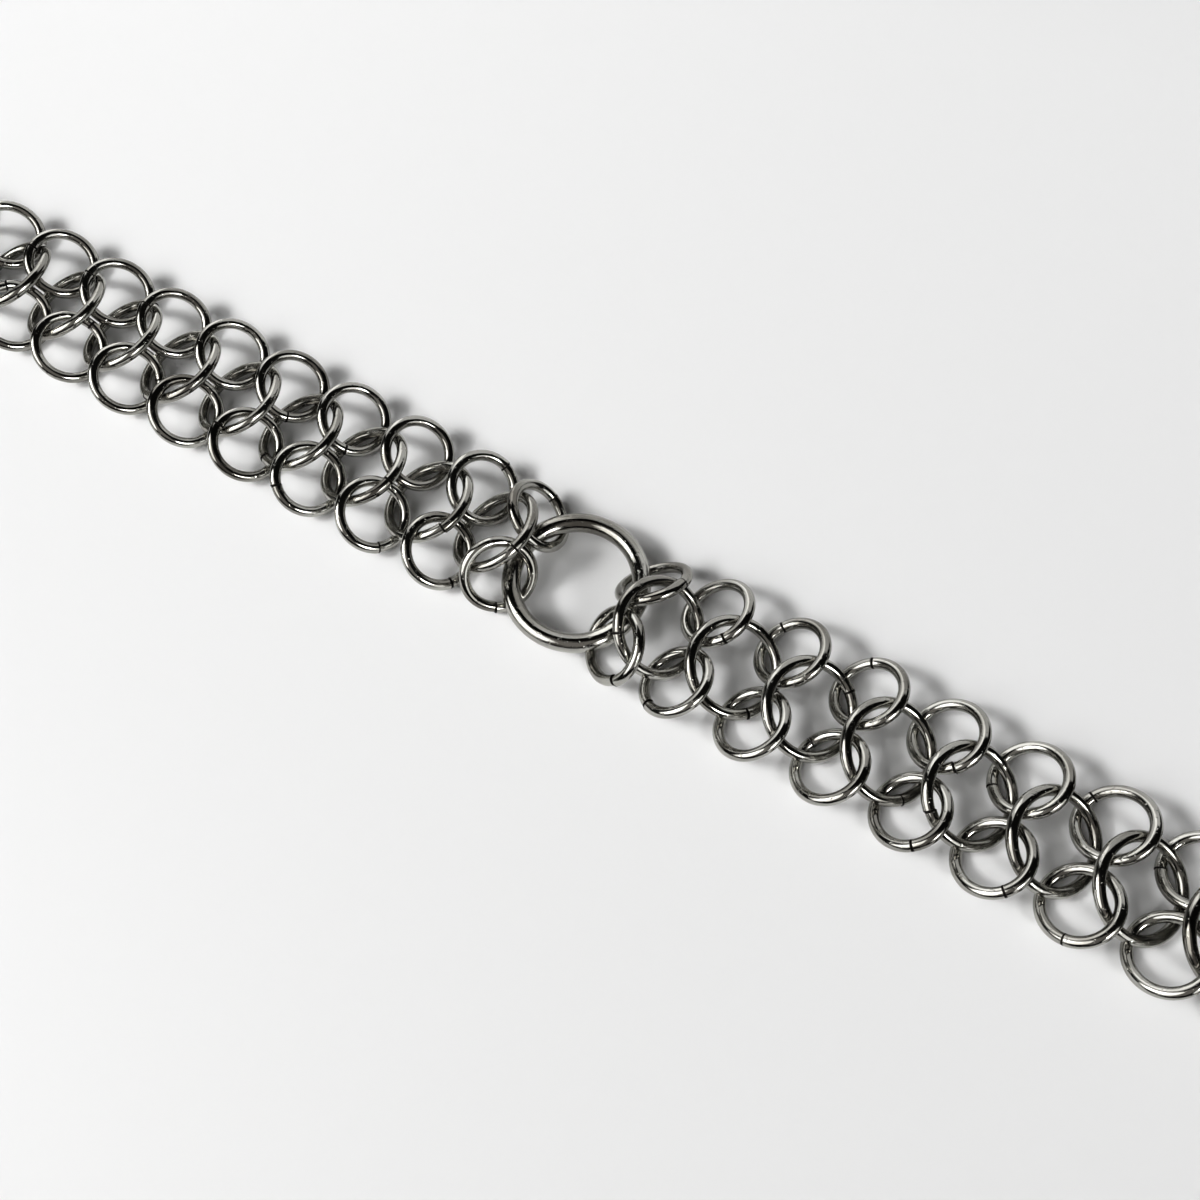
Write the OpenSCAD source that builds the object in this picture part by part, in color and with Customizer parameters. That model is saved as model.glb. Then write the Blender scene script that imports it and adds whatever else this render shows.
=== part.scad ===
// Chainmail choker: a strip of linked wire rings, three rings wide, with one
// big ring in the middle of the front and a plain hook at the back.
// The closed loop lies flat on the plane z = 0. X runs along the straight
// front stretch, Y across it, and the big ring is centred on X = Y = 0.

/* [Small rings] */
// Wire thickness of the small rings
wire_d = 1.05; // [1:0.05:1.05]
// Outer diameter of the rings along the two edges
edge_od = 7.45; // [7.4:0.05:7.5]
// Outer diameter of the rings along the middle
middle_od = 9.55; // [9.5:0.05:9.6]

/* [Big ring] */
// Wire thickness of the big ring
big_wire_d = 1.8; // [1.6:0.1:1.8]
// Outer diameter of the big ring
big_od = 13.9; // [13.8:0.1:14]
// Height of the big ring's centre line, which rests on the rings through it
big_z = 2.2; // [2.15:0.05:2.25]

/* [Weave] */
// Spacing of the rings along the straight stretches
pitch = 7.6; // [7.55:0.05:7.65]
// Distance from the middle line to each row of edge rings
row_offset = 3.8; // [3.75:0.05:3.85]
// Lean of an edge ring, with its side away from the big ring high
edge_lean = 33; // [32.5:0.5:33.5]
// Lean of a middle ring, with its side towards the big ring high
middle_lean = 24; // [23.5:0.5:24.5]

/* [Rings beside the big ring] */
// Distance of the first edge rings along the strip
first_edge_x = 6.4; // [6.35:0.05:6.45]
// Distance of the first edge rings from the middle line
first_edge_y = 3.5; // [3.45:0.05:3.55]
// Lean of the first edge rings
first_edge_lean = 46; // [45:1:46]
// Angle by which their high sides point in towards the middle line
first_edge_turn = 36.5; // [35.5:0.5:37.5]
// Distance of the first middle ring along the strip
first_middle_x = 9.05; // [9:0.05:9.1]
// Lean of the first middle ring, which reaches over the big ring
first_middle_lean = 35; // [34.5:0.5:35.5]
// How far the first rings have slid round the big ring, one way on each side
first_slide = 0.3; // [0.2:0.05:0.35]
// Distance of the second edge rings, where the even weave begins
second_edge_x = 12.75; // [12.7:0.05:12.8]

/* [Loop] */
// Steps of the straight front stretch to the right of the big ring
right_front_steps = 7; // [7:1:8]
// Steps of the straight front stretch to the left of the big ring
left_front_steps = 8; // [8:1:9]
// Steps round each bend
bend_steps = 7; // [6:1:7]
// Angle of each step round a bend
bend_angle = 20.5; // [20.3:0.1:20.6]
// Length of each step round a bend, measured on the middle line
bend_pitch = 6.2; // [6.15:0.05:6.25]
// Steps from each bend to the back
back_steps = 12; // [11:1:12]

/* [Closure] */
// Height of the centre of the last middle ring on each side
last_middle_z = 2.65; // [2.6:0.05:2.7]
// Lean of the last middle ring, which the closure holds up
last_middle_lean = 11; // [10:1:11]
// Outer diameter of the ring that joins the strip to the hook
end_ring_od = 5.8; // [5.7:0.1:5.9]
// Lean of that ring across the strip
end_ring_lean = 60; // [58:1:62]
// Distance of its centre beyond the wire of the last middle ring
end_ring_reach = 0.6; // [0.5:0.05:0.7]
// Wire thickness of the hook
hook_wire_d = 1.2; // [1:0.1:1.2]
// Height of the hook's centre line
hook_z = 2.4; // [2.3:0.05:2.5]
// Part of a circle that each bow of the hook covers, leaving a way in
hook_bow_angle = 290; // [280:5:300]
// Play between the hook and an end ring, along the strip
hook_play = 0.55; // [0.5:0.05:0.6]

/* [Hidden] */
steel = [0.62, 0.61, 0.59];
edge_r = (edge_od - wire_d) / 2;
middle_r = (middle_od - wire_d) / 2;
end_ring_r = (end_ring_od - wire_d) / 2;
big_r = (big_od - big_wire_d) / 2;
right = 1;
left = -1;
rows = [1, -1];

// A spot on the middle line of the strip is [x, y, heading]. The strip is laid
// out to the right of the big ring, and the left half is its mirror image.
start = [second_edge_x, 0, 0];

function in_bend(i, front_steps) = i >= front_steps && i < front_steps + bend_steps;
function step_length(i, front_steps) = in_bend(i, front_steps) ? bend_pitch : pitch;
function step_turn(i, front_steps) = in_bend(i, front_steps) ? -bend_angle : 0;

// The spot reached after a straight length, or after a length that turns
function advance(spot, length, turn) =
    turn == 0
    ? [spot.x + length * cos(spot.z), spot.y + length * sin(spot.z), spot.z]
    : let (radius = length / (turn * PI / 180))
      [spot.x + radius * (sin(spot.z + turn) - sin(spot.z)),
       spot.y - radius * (cos(spot.z + turn) - cos(spot.z)),
       spot.z + turn];

// The spot of the pair of edge rings number i, counted from the second pair
function edge_spot(i, front_steps) =
    i == 0
    ? start
    : advance(edge_spot(i - 1, front_steps),
              step_length(i - 1, front_steps),
              step_turn(i - 1, front_steps));

// The spot of the middle ring that follows that pair, half a step on
function middle_spot(i, front_steps) =
    advance(edge_spot(i, front_steps),
            step_length(i, front_steps) / 2,
            step_turn(i, front_steps) / 2);

function pair_count(front_steps) = front_steps + bend_steps + back_steps;
function last_spot(front_steps) = middle_spot(pair_count(front_steps) - 1, front_steps);

// The closure lies between the last middle rings of the two halves
right_end = last_spot(right_front_steps);
left_end_mirrored = last_spot(left_front_steps);
left_end = [-left_end_mirrored.x, left_end_mirrored.y];
closure_gap = norm([right_end.x - left_end.x, right_end.y - left_end.y]);
closure_centre = [(right_end.x + left_end.x) / 2, (right_end.y + left_end.y) / 2];
closure_heading = atan2(right_end.y - left_end.y, right_end.x - left_end.x);
last_middle_reach = middle_r * cos(last_middle_lean);
end_ring_x = closure_gap / 2 - last_middle_reach - end_ring_reach;
hook_end_x = end_ring_x - end_ring_r + (wire_d + hook_wire_d) / 2 + hook_play;
hook_bow_r = hook_end_x / 2;

// The height at which a leaning ring just rests on the table
function rest_z(r, lean) = wire_d / 2 + r * sin(lean);

// A ring of round wire, lying flat about the origin
module wire_ring(r, thickness) {
    rotate_extrude($fn = 48)
        translate([r, 0])
            circle(d = thickness, $fn = 24);
}

// A small ring that leans, with its high side towards a heading
module leaning_ring(r, x, y, z, lean, high_side) {
    translate([x, y, z])
        rotate([0, -lean, high_side])
            wire_ring(r, wire_d);
}

// The two edge rings of one pair, each its own distance off the middle line
module edge_pair(spot) {
    for (row = rows)
        leaning_ring(edge_r,
                     spot.x - row * row_offset * sin(spot.z),
                     spot.y + row * row_offset * cos(spot.z),
                     rest_z(edge_r, edge_lean), edge_lean, spot.z);
}

// The rings that hang on the big ring, and the first middle ring through them
module first_rings(side) {
    slid = -side * first_slide;
    for (row = rows)
        leaning_ring(edge_r, first_edge_x, row * first_edge_y + slid,
                     rest_z(edge_r, first_edge_lean), first_edge_lean,
                     -row * first_edge_turn);
    leaning_ring(middle_r, first_middle_x, slid,
                 rest_z(middle_r, first_middle_lean), first_middle_lean, 180);
}

// One half of the strip, laid out to the right
module mail_half(side, front_steps) {
    last = pair_count(front_steps) - 1;
    first_rings(side);
    for (i = [0 : last]) {
        spot = middle_spot(i, front_steps);
        edge_pair(edge_spot(i, front_steps));
        if (i < last)
            leaning_ring(middle_r, spot.x, spot.y,
                         rest_z(middle_r, middle_lean), middle_lean, spot.z + 180);
        else
            leaning_ring(middle_r, spot.x, spot.y,
                         last_middle_z, last_middle_lean, spot.z + 180);
    }
}

// Places a piece of the closure on the line between the two ends
module at_closure(x) {
    translate([closure_centre.x, closure_centre.y, 0])
        rotate([0, 0, closure_heading])
            translate([x, 0, 0])
                children();
}

// One bow of the hook, from the middle of the hook outwards and back
module hook_bow() {
    translate([hook_bow_r, 0, 0])
        rotate([0, 0, 180])
            rotate_extrude(angle = hook_bow_angle, $fn = 48)
                translate([hook_bow_r, 0])
                    circle(d = hook_wire_d, $fn = 24);
}

module big_ring() {
    color(steel)
        translate([0, 0, big_z])
            wire_ring(big_r, big_wire_d);
}

module mail_right() {
    color(steel)
        mail_half(right, right_front_steps);
}

module mail_left() {
    color(steel)
        mirror([1, 0, 0])
            mail_half(left, left_front_steps);
}

module end_ring(side) {
    color(steel)
        at_closure(side * end_ring_x)
            leaning_ring(end_ring_r, 0, 0, rest_z(end_ring_r, end_ring_lean),
                         end_ring_lean, 90);
}

module end_ring_right() {
    end_ring(right);
}

module end_ring_left() {
    end_ring(left);
}

// An S-shaped hook: two bows that meet at its middle
module hook_clasp() {
    color(steel)
        at_closure(0)
            translate([0, 0, hook_z]) {
                hook_bow();
                rotate([0, 0, 180])
                    hook_bow();
            }
}

big_ring();
mail_right();
mail_left();
end_ring_right();
end_ring_left();
hook_clasp();
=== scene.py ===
# Chainmail choker, seen as in the photo: the band lies flat and runs past the
# big front ring. Everything is in metres in the part's own frame. The choker's
# sizes are written in millimetres and turned into metres by MM.
import math
import random

import bmesh
import bpy
from mathutils import Matrix, Quaternion, Vector


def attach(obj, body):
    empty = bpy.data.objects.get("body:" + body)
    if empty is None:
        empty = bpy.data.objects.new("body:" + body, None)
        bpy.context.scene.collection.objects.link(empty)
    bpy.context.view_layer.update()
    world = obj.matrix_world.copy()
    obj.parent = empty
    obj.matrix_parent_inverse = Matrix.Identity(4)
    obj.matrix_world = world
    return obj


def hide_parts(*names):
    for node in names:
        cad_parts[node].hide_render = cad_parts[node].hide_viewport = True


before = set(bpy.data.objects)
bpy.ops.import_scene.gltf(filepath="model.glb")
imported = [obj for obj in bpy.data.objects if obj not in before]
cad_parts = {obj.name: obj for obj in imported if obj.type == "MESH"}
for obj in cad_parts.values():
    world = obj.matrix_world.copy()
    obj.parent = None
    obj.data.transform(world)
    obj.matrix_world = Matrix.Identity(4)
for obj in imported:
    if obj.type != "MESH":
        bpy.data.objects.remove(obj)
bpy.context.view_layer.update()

MM = 0.001


# Steel wire
# Everything is bright stainless spring wire, drawn through a die, which leaves
# faint lines along it, then handled, so that it has a few nicks and dull spots.

def new_material(name):
    material = bpy.data.materials.new(name)
    material.use_nodes = True
    material.node_tree.nodes.clear()
    return material


def add_node(material, kind, links=(), **values):
    """A shader node. values set its properties, or its inputs where the name is one.

    links are pairs of an output socket and an input's name.
    """
    node = material.node_tree.nodes.new(kind)
    for name, value in values.items():
        if hasattr(node, name):
            setattr(node, name, value)
        else:
            node.inputs[name.replace("_", " ")].default_value = value
    for output, name in links:
        material.node_tree.links.new(output, node.inputs[name])
    return node


# Painted shade with some dirt: over the first tenth of a millimetre from each joint the wire is
# coloured near-black, for the shadow in the joint's gap and the dirt lodged there. It is also rougher
# there, where the ends were sawn.
JOINT_SHADE_FULL = 0.08 * MM
JOINT_SHADE_FADED = 0.12 * MM
JOINT_SHADE_AND_DIRT_COLOUR = (0.015, 0.013, 0.011, 1)
SAWN_ROUGHNESS = 0.4


def steel(name, clean, dull, roughness, draw_lines, nicks):
    """Drawn steel wire.

    clean and dull are its colours. The rest sets how rough it is and how deep its marks are.
    """
    material = new_material(name)
    wire = add_node(material, "ShaderNodeAttribute", attribute_name="wire")
    grain = add_node(material, "ShaderNodeAttribute", attribute_name="grain")
    end = add_node(material, "ShaderNodeAttribute", attribute_name="end")

    stretched = add_node(material, "ShaderNodeMapping", [(wire.outputs["Vector"], "Vector")],
                         Scale=(0.02, 1.0, 1.0))
    lines = add_node(material, "ShaderNodeTexNoise", [(stretched.outputs["Vector"], "Vector")],
                     Scale=7000.0, Detail=3.0, Roughness=0.6)
    spots = add_node(material, "ShaderNodeTexNoise", [(wire.outputs["Vector"], "Vector")],
                     Scale=900.0, Detail=4.0, Roughness=0.65)
    smears = add_node(material, "ShaderNodeMapping", [(wire.outputs["Vector"], "Vector")],
                      Scale=(0.3, 1.0, 1.0))
    smear = add_node(material, "ShaderNodeTexNoise", [(smears.outputs["Vector"], "Vector")],
                     Scale=420.0, Detail=3.0, Roughness=0.55)
    pits = add_node(material, "ShaderNodeTexNoise", [(wire.outputs["Vector"], "Vector")],
                    Scale=2600.0, Detail=2.0, Roughness=0.5)

    dullness = add_node(material, "ShaderNodeMapRange", [(smear.outputs["Fac"], "Value")],
                        From_Min=0.42, From_Max=0.68, To_Min=0.0, To_Max=1.0)
    colour = add_node(material, "ShaderNodeMix", [(dullness.outputs["Result"], "Factor")],
                      data_type="RGBA")
    colour.inputs["A"].default_value = clean
    colour.inputs["B"].default_value = dull
    # Painted shade of the joint's gap, with some dirt: near-black next to each joint, fading out a
    # little over a tenth of a millimetre away.
    joint_shade_and_dirt = add_node(material, "ShaderNodeMapRange", [(end.outputs["Fac"], "Value")],
                    From_Min=JOINT_SHADE_FULL, From_Max=JOINT_SHADE_FADED, To_Min=1.0, To_Max=0.0)
    colour = add_node(material, "ShaderNodeMix",
                      [(joint_shade_and_dirt.outputs["Result"], "Factor"), (colour.outputs["Result"], "A")],
                      data_type="RGBA")
    colour.inputs["B"].default_value = JOINT_SHADE_AND_DIRT_COLOUR
    rough = add_node(material, "ShaderNodeMapRange", [(spots.outputs["Fac"], "Value")],
                     From_Min=0.35, From_Max=0.7,
                     To_Min=roughness[0], To_Max=roughness[1])
    rough = add_node(material, "ShaderNodeMath",
                     [(joint_shade_and_dirt.outputs["Result"], 0), (rough.outputs["Result"], 2)],
                     operation="MULTIPLY_ADD")
    rough.inputs[1].default_value = SAWN_ROUGHNESS
    line_bump = add_node(material, "ShaderNodeBump", [(lines.outputs["Fac"], "Height")],
                         Strength=1.0, Distance=draw_lines)
    pit_depth = add_node(material, "ShaderNodeMapRange", [(pits.outputs["Fac"], "Value")],
                         From_Min=0.28, From_Max=0.36, To_Min=0.0, To_Max=1.0)
    bump = add_node(material, "ShaderNodeBump",
                    [(pit_depth.outputs["Result"], "Height"), (line_bump.outputs["Normal"], "Normal")],
                    Strength=1.0, Distance=nicks)
    shader = add_node(material, "ShaderNodeBsdfPrincipled",
                      [(colour.outputs["Result"], "Base Color"),
                       (rough.outputs["Value"], "Roughness"),
                       (bump.outputs["Normal"], "Normal"),
                       (grain.outputs["Vector"], "Tangent")],
                      Metallic=1.0, Anisotropic=0.2)
    add_node(material, "ShaderNodeOutputMaterial", [(shader.outputs["BSDF"], "Surface")])
    return material


mail_steel = steel("mail wire", clean=(0.48, 0.475, 0.446, 1), dull=(0.22, 0.21, 0.19, 1),
                   roughness=(0.06, 0.15), draw_lines=0.013 * MM, nicks=0.012 * MM)


# Bent rings
# A ring is a single turn of wire, wound on a rod, sawn off and pushed shut, so
# each has a butt joint: two flat ends that meet with a hair's gap and a small
# step between them.

AROUND = 16
ALONG = 80
# Angle from the joint, in radians, over which its step dies away
STEP_REACH = 0.5


def bent_wire(radius, wire, along, cut=0.0, gap=0.0, lift=0.0, spring=0.0, covers=360.0,
              end_bevel=0.0, wire_start=0.0):
    """One turn of wire, flat about the origin.

    cut is where its ends meet, in degrees from +X. gap, lift and spring are how far
    apart the ends are along the wire, out of the ring's plane and outwards.
    """
    bm = bmesh.new()
    wire_layer = bm.verts.layers.float_vector.new("wire")
    grain_layer = bm.verts.layers.float_vector.new("grain")
    end_layer = bm.verts.layers.float.new("end")
    turn = math.radians(covers) - gap / radius
    begin = Matrix.Rotation(gap / radius / 2, 4, "Z")
    section = bmesh.ops.create_circle(
        bm, segments=AROUND, radius=wire / 2,
        matrix=begin @ Matrix.Translation((radius, 0, 0)) @ Matrix.Rotation(math.pi / 2, 4, "X"))
    bmesh.ops.spin(bm, geom=section["verts"] + bm.edges[:], cent=(0, 0, 0), axis=(0, 0, 1),
                   angle=turn, steps=along)
    for face in bm.faces:
        face.smooth = True
    rims = [e for e in bm.edges if e.is_boundary]
    bmesh.ops.holes_fill(bm, edges=rims, sides=0)
    for edge in rims:
        edge.smooth = bool(end_bevel)
    if end_bevel:
        bmesh.ops.bevel(bm, geom=rims, offset=end_bevel, segments=2, profile=0.5,
                        affect="EDGES", clamp_overlap=True, material=-1)
    turned = Matrix.Rotation(math.radians(cut), 4, "Z")
    for vert in bm.verts:
        x, y, z = vert.co
        angle = math.atan2(y, x) % (2 * math.pi)
        out = math.hypot(x, y) - radius
        vert[wire_layer] = (wire_start + radius * angle, out, z)
        closed = covers == 360
        # The end attribute places the painted shade at the joint. On a closed ring it is the distance
        # from the joint along the wire.
        vert[end_layer] = radius * (min(angle, 2 * math.pi - angle) if closed else 1)
        vert[grain_layer] = turned @ Vector((-math.sin(angle), math.cos(angle), 0))
        from_cut = angle if angle < math.pi else angle - 2 * math.pi
        part = math.copysign(0.5, from_cut) * math.exp(-(from_cut / STEP_REACH) ** 2)
        vert.co.z += lift * part
        far = 1 + spring * part / radius
        vert.co.x *= far
        vert.co.y *= far
        vert.co = turned @ vert.co
    bmesh.ops.recalc_face_normals(bm, faces=bm.faces)
    return bm


def place(bm, matrix):
    """Moves a wire, and turns its grain with it."""
    grain_layer = bm.verts.layers.float_vector["grain"]
    turn = matrix.to_3x3()
    for vert in bm.verts:
        vert.co = matrix @ vert.co
        vert[grain_layer] = turn @ vert[grain_layer]
    return bm


def to_object(wires, name, material, stands_for=()):
    """Joins several wires into one mesh."""
    whole = bmesh.new()
    for wire in wires:
        part = bpy.data.meshes.new("wire")
        wire.to_mesh(part)
        wire.free()
        whole.from_mesh(part)
        bpy.data.meshes.remove(part)
    mesh = bpy.data.meshes.new(name)
    whole.to_mesh(mesh)
    whole.free()
    mesh.materials.append(material)
    obj = bpy.data.objects.new(name, mesh)
    bpy.context.scene.collection.objects.link(obj)
    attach(obj, "root")
    if stands_for:
        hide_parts(*stands_for)
    return obj


# The weave
# Four edge rings hang on each middle ring, two on either side, as in European
# four-in-one mail. Edge rings lean with their outer side high, middle rings
# with the side towards the big ring high, so each row lies on the one before.

WIRE = 1.05 * MM
EDGE_R = (7.45 * MM - WIRE) / 2
MIDDLE_R = (9.55 * MM - WIRE) / 2
PITCH = 7.6 * MM
ROW = 3.8 * MM
EDGE_LEAN = 33
MIDDLE_LEAN = 24
FIRST_SLIDE = 0.3 * MM
FIRST_EDGE_X = 6.4 * MM
FIRST_EDGE_Y = 3.5 * MM
FIRST_EDGE_LEAN = 46
FIRST_EDGE_TURN = 36.5
FIRST_MIDDLE_X = 9.05 * MM
FIRST_MIDDLE_LEAN = 35
SECOND_EDGE_X = 12.75 * MM
LAST_MIDDLE_Z = 2.65 * MM
LAST_MIDDLE_LEAN = 11
BEND_STEPS = 7
BEND_ANGLE = 20.5
BEND_PITCH = 6.2 * MM
BACK_STEPS = 12
UPPER, MIDDLE, LOWER = 1, 0, -1
RIGHT, LEFT = 1, -1
FRONT_STEPS = {RIGHT: 7, LEFT: 8}

# Where the photo shows a ring's joint, in degrees from its high side:
# (side, row, number from the big ring): angle
SEEN_JOINTS = {
    (RIGHT, UPPER, 1): 40, (RIGHT, UPPER, 2): 315, (RIGHT, UPPER, 3): 135,
    (RIGHT, UPPER, 4): 110, (RIGHT, UPPER, 5): 305, (RIGHT, UPPER, 7): 145,
    (RIGHT, MIDDLE, 3): 235, (RIGHT, MIDDLE, 4): 135, (RIGHT, MIDDLE, 5): 50,
    (RIGHT, LOWER, 2): 245, (RIGHT, LOWER, 4): 150, (RIGHT, LOWER, 5): 300,
    (RIGHT, LOWER, 6): 310, (RIGHT, LOWER, 7): 270,
    (LEFT, UPPER, 1): 230, (LEFT, UPPER, 2): 260, (LEFT, MIDDLE, 2): 330,
    (LEFT, LOWER, 1): 155, (LEFT, LOWER, 3): 135,
}


def advance(x, y, heading, length, turn):
    """The spot reached after that length, in which the heading turns by that many degrees."""
    a = math.radians(heading)
    if not turn:
        return x + length * math.cos(a), y + length * math.sin(a), heading
    b = math.radians(heading + turn)
    radius = length / math.radians(turn)
    return (x + radius * (math.sin(b) - math.sin(a)),
            y - radius * (math.cos(b) - math.cos(a)), heading + turn)


def rest_z(radius, lean):
    return WIRE / 2 + radius * math.sin(math.radians(lean))


def half_poses(side):
    """Poses of one half's rings, laid out to the right.

    Each is (row, number from the big ring, x, y, z, lean, high side).
    """
    slid = -side * FIRST_SLIDE
    poses = [(row, 1, FIRST_EDGE_X, row * FIRST_EDGE_Y + slid,
              rest_z(EDGE_R, FIRST_EDGE_LEAN), FIRST_EDGE_LEAN, -row * FIRST_EDGE_TURN)
             for row in (UPPER, LOWER)]
    poses.append((MIDDLE, 1, FIRST_MIDDLE_X, slid,
                  rest_z(MIDDLE_R, FIRST_MIDDLE_LEAN), FIRST_MIDDLE_LEAN, 180))
    x, y, heading = SECOND_EDGE_X, 0.0, 0.0
    front = FRONT_STEPS[side]
    count = front + BEND_STEPS + BACK_STEPS
    for i in range(count):
        bend = front <= i < front + BEND_STEPS
        length, turn = (BEND_PITCH, -BEND_ANGLE) if bend else (PITCH, 0)
        a = math.radians(heading)
        for row in (UPPER, LOWER):
            poses.append((row, i + 2, x - row * ROW * math.sin(a), y + row * ROW * math.cos(a),
                          rest_z(EDGE_R, EDGE_LEAN), EDGE_LEAN, heading))
        mx, my, mh = advance(x, y, heading, length / 2, turn / 2)
        last = i == count - 1
        poses.append((MIDDLE, i + 2, mx, my,
                      LAST_MIDDLE_Z if last else rest_z(MIDDLE_R, MIDDLE_LEAN),
                      LAST_MIDDLE_LEAN if last else MIDDLE_LEAN, mh + 180))
        x, y, heading = advance(x, y, heading, length, turn)
    return poses


# Least and greatest misfit of a joint's ends, along the wire, up and outwards
JOINT_GAP = (0.02, 0.05)
JOINT_LIFT = (0.05, 0.13)
JOINT_SPRING = (0.03, 0.08)


def mail(side, name):
    """The two meshes of one half: its edge rings and its middle rings."""
    chance = random.Random(name)
    edge, middle = [], []
    for row, number, x, y, z, lean, high_side in half_poses(side):
        wires, radius = (middle, MIDDLE_R) if row == MIDDLE else (edge, EDGE_R)
        anywhere = chance.uniform(0, 360)
        wire = bent_wire(radius, WIRE, ALONG, cut=SEEN_JOINTS.get((side, row, number), anywhere),
                         gap=chance.uniform(*JOINT_GAP) * MM,
                         lift=chance.choice((-1, 1)) * chance.uniform(*JOINT_LIFT) * MM,
                         spring=chance.choice((-1, 1)) * chance.uniform(*JOINT_SPRING) * MM,
                         wire_start=chance.uniform(0, 1))
        if side == LEFT:
            x, high_side = -x, 180 - high_side
        wires.append(place(wire, Matrix.Translation((x, y, z))
                           @ Matrix.Rotation(math.radians(high_side), 4, "Z")
                           @ Matrix.Rotation(math.radians(-lean), 4, "Y")))
    to_object(edge, name + "_edge_rings", mail_steel, [name])
    to_object(middle, name + "_middle_rings", mail_steel, [name])


mail(RIGHT, "mail_right")
mail(LEFT, "mail_left")


# Big ring
# One turn of thicker wire, bent and closed like the small rings. Its joint is
# hidden under a middle ring, and it lies flat on the four rings through it.

BIG_WIRE = 1.8 * MM
BIG_R = (13.9 * MM - BIG_WIRE) / 2
BIG_Z = 2.2 * MM
BIG_ALONG = 144
ROUNDED_END = 0.05 * MM

big_steel = steel("big ring wire", clean=(0.51, 0.505, 0.475, 1), dull=(0.28, 0.27, 0.245, 1),
                  roughness=(0.05, 0.14), draw_lines=0.018 * MM, nicks=0.014 * MM)
wire = bent_wire(BIG_R, BIG_WIRE, BIG_ALONG, cut=-3, gap=0.05 * MM, end_bevel=ROUNDED_END)
place(wire, Matrix.Translation((0, 0, BIG_Z)))
to_object([wire], "big_ring_wire", big_steel, ["big_ring"])


# Closure
# Out of the photo's view: a small ring through each last middle ring, and a
# plain S-shaped hook of thicker wire that joins the two.

END_RING_R = (5.8 * MM - WIRE) / 2
END_RING_LEAN = 60
END_RING_REACH = 0.6 * MM
HOOK_WIRE = 1.2 * MM
HOOK_Z = 2.4 * MM
HOOK_PLAY = 0.55 * MM
HOOK_BOW_ANGLE = 290

last_right = half_poses(RIGHT)[-1]
last_left = half_poses(LEFT)[-1]
closure_x = (last_right[2] - last_left[2]) / 2
closure_y = last_right[3]
closure_gap = last_right[2] + last_left[2]
last_reach = MIDDLE_R * math.cos(math.radians(LAST_MIDDLE_LEAN))
end_ring_x = closure_gap / 2 - last_reach - END_RING_REACH
bow_r = (end_ring_x - END_RING_R + (WIRE + HOOK_WIRE) / 2 + HOOK_PLAY) / 2

for side, name in ((RIGHT, "right"), (LEFT, "left")):
    wire = bent_wire(END_RING_R, WIRE, ALONG, cut=200, gap=0.07 * MM, end_bevel=ROUNDED_END)
    place(wire,
          Matrix.Translation((closure_x + side * end_ring_x, closure_y,
                              rest_z(END_RING_R, END_RING_LEAN)))
          @ Matrix.Rotation(math.radians(90), 4, "Z")
          @ Matrix.Rotation(math.radians(-END_RING_LEAN), 4, "Y"))
    to_object([wire], "small_ring_" + name, mail_steel, ["end_ring_" + name])

bows = []
for side in (RIGHT, LEFT):
    wire = bent_wire(bow_r, HOOK_WIRE, ALONG, covers=HOOK_BOW_ANGLE, end_bevel=0.35 * MM)
    bows.append(place(wire, Matrix.Translation((closure_x, closure_y, HOOK_Z))
                      @ Matrix.Rotation(0 if side == RIGHT else math.pi, 4, "Z")
                      @ Matrix.Translation((bow_r, 0, 0)) @ Matrix.Rotation(math.pi, 4, "Z")))
to_object(bows, "hook_clasp_wire", mail_steel, ["hook_clasp"])


# Table
# A plain white table top. Its colour carries painted shade: it is made a shade darker on the near
# side, where the phone keeps off some of the room's light.

TABLE_RADIUS = 1.3
SHADE_ACROSS = (-0.15, 0.99, 0)
SHADE_REACH = 80 * MM
NEAR_WHITE, FAR_WHITE = 0.83, 0.97

table_white = new_material("white table")
spot = add_node(table_white, "ShaderNodeTexCoord")
across = add_node(table_white, "ShaderNodeVectorMath", [(spot.outputs["Object"], 0)],
                  operation="DOT_PRODUCT")
across.inputs[1].default_value = SHADE_ACROSS
# Painted shade: the table's colour darkens towards the near side.
shade = add_node(table_white, "ShaderNodeMapRange", [(across.outputs["Value"], "Value")],
                 From_Min=-SHADE_REACH, From_Max=SHADE_REACH, To_Min=NEAR_WHITE, To_Max=FAR_WHITE)
grey = add_node(table_white, "ShaderNodeCombineColor",
                [(shade.outputs["Result"], channel) for channel in ("Red", "Green", "Blue")])
shader = add_node(table_white, "ShaderNodeBsdfPrincipled", [(grey.outputs["Color"], "Base Color")],
                  Roughness=0.6)
add_node(table_white, "ShaderNodeOutputMaterial", [(shader.outputs["BSDF"], "Surface")])
bm = bmesh.new()
bmesh.ops.create_circle(bm, cap_ends=True, segments=96, radius=TABLE_RADIUS)
mesh = bpy.data.meshes.new("table")
bm.to_mesh(mesh)
bm.free()
mesh.materials.append(table_white)
table = bpy.data.objects.new("table", mesh)
bpy.context.scene.collection.objects.link(table)


# Light
# Two soft windows, the brighter one to the left, give the two sets of shadows.
# The left one lights the table by window, blind and sky, and the wires mirror it
# as pane, frame and curtain. The walls and the near side show only on the wires.

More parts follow.
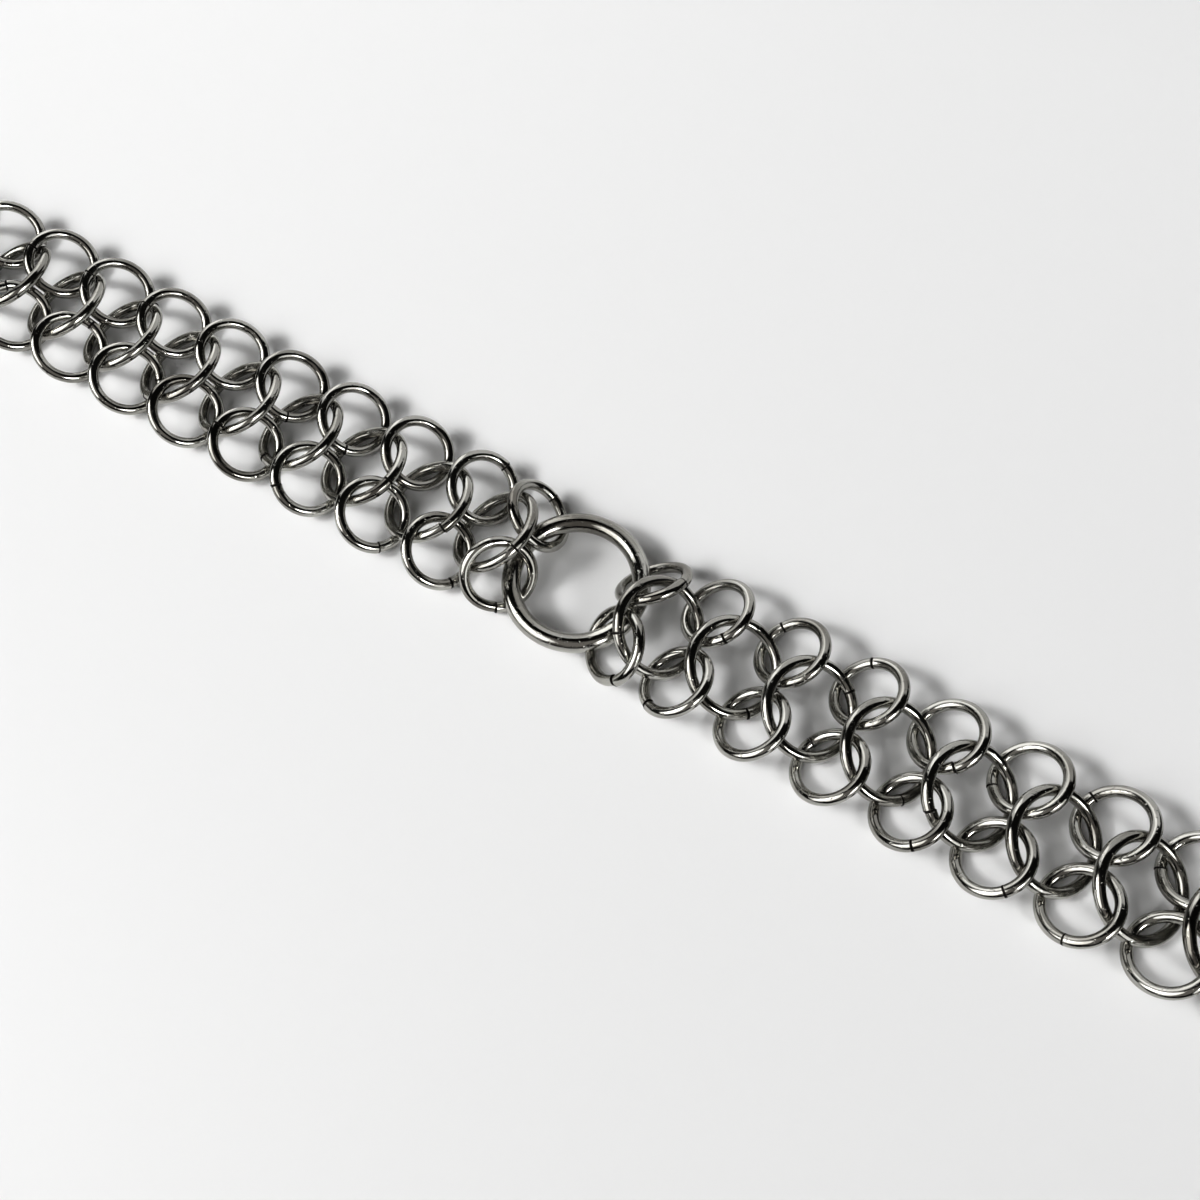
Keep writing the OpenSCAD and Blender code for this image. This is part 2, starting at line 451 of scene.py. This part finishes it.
def area_light(name, azimuth, elevation, distance, size, radiance, colour=(1, 1, 1), shape="ELLIPSE",
               shows_in=("diffuse", "glossy")):
    """A soft light that faces the big ring. azimuth 0 is the near side (-Y), and 90 the right (+X)."""
    data = bpy.data.lights.new(name, "AREA")
    data.shape = shape
    data.size, data.size_y = size
    area = size[0] * size[1] * (math.pi / 4 if shape == "ELLIPSE" else 1)
    data.energy = radiance * math.pi * area
    data.color = colour
    light = bpy.data.objects.new(name, data)
    a, e = math.radians(azimuth), math.radians(elevation)
    back = Vector((math.sin(a) * math.cos(e), -math.cos(a) * math.cos(e), math.sin(e)))
    light.location = back * distance
    light.rotation_mode = "QUATERNION"
    light.rotation_quaternion = (-back).to_track_quat("-Z", "Y")
    light.visible_camera = False
    light.visible_diffuse = "diffuse" in shows_in
    light.visible_glossy = "glossy" in shows_in
    bpy.context.scene.collection.objects.link(light)
    return light


area_light("left_window", azimuth=-55, elevation=41, distance=1.10, size=(0.30, 0.21), radiance=31,
           shows_in=("diffuse",))
area_light("left_blind", azimuth=-49, elevation=41, distance=1.12, size=(0.66, 0.50), radiance=1.4,
           shows_in=("diffuse",))
area_light("left_sky", azimuth=-40, elevation=46, distance=1.15, size=(1.30, 1.20), radiance=1.95,
           shows_in=("diffuse",))
area_light("left_pane", azimuth=-55, elevation=41, distance=1.10, size=(0.34, 0.25), radiance=20,
           shows_in=("glossy",))
area_light("left_frame", azimuth=-49, elevation=41, distance=1.12, size=(0.66, 0.60), radiance=3.2,
           shows_in=("glossy",))
area_light("left_curtain", azimuth=-38, elevation=40, distance=1.15, size=(1.20, 1.10), radiance=2.1,
           shows_in=("glossy",))
area_light("right_window", azimuth=66, elevation=36, distance=1.60, size=(0.50, 0.33), radiance=17)
area_light("right_curtain", azimuth=71, elevation=25, distance=1.65, size=(1.2, 1.2), radiance=1.5)
area_light("far_wall", azimuth=-162, elevation=28, distance=0.60, size=(1.1, 0.69), radiance=0.80,
           shape="RECTANGLE", shows_in=("glossy",))
area_light("left_wall", azimuth=-118, elevation=27, distance=0.62, size=(0.42, 0.66), radiance=1.0,
           shape="RECTANGLE", shows_in=("glossy",))
area_light("near_side", azimuth=5, elevation=54, distance=0.50, size=(0.60, 0.50), radiance=0.30,
           colour=(1.0, 0.95, 0.91), shape="RECTANGLE", shows_in=("glossy",))

world = bpy.data.worlds.new("room")
bpy.context.scene.world = world
world.use_nodes = True
tree = world.node_tree
room = tree.nodes["Background"]
room.inputs["Color"].default_value = (0.010, 0.010, 0.009, 1)
backdrop = tree.nodes.new("ShaderNodeBackground")
backdrop.inputs["Color"].default_value = (0.8, 0.8, 0.8, 1)
seen = tree.nodes.new("ShaderNodeLightPath")
either = tree.nodes.new("ShaderNodeMixShader")
tree.links.new(seen.outputs["Is Camera Ray"], either.inputs[0])
tree.links.new(room.outputs[0], either.inputs[1])
tree.links.new(backdrop.outputs[0], either.inputs[2])
tree.links.new(either.outputs[0], tree.nodes["World Output"].inputs["Surface"])


# Camera
# A phone about 11 cm from the ring, above it and to its near right. The lens is
# as long as the picture is wide, and the tone curve darkens the steel's shadows.

LENS = 36.0
CAMERA_TARGET = Vector((2.315, 0.280, 0)) * MM
CAMERA_DISTANCE = 112.45 * MM
CAMERA_AZIMUTH = 35.84
CAMERA_ELEVATION = 67.64
CAMERA_ROLL = -5.19

camera_data = bpy.data.cameras.new("camera")
camera_data.lens = LENS
camera_data.sensor_width = 36.0
camera_data.clip_start = 0.005
camera = bpy.data.objects.new("camera", camera_data)
a, e = math.radians(CAMERA_AZIMUTH), math.radians(CAMERA_ELEVATION)
back = Vector((math.sin(a) * math.cos(e), -math.cos(a) * math.cos(e), math.sin(e)))
camera.location = CAMERA_TARGET + back * CAMERA_DISTANCE
camera.rotation_mode = "QUATERNION"
camera.rotation_quaternion = ((-back).to_track_quat("-Z", "Y")
                              @ Quaternion((0, 0, 1), math.radians(CAMERA_ROLL)))
bpy.context.scene.collection.objects.link(camera)
bpy.context.scene.camera = camera
view = bpy.context.scene.view_settings
view.view_transform = "Standard"
view.gamma = 0.80
view.exposure = 0.11
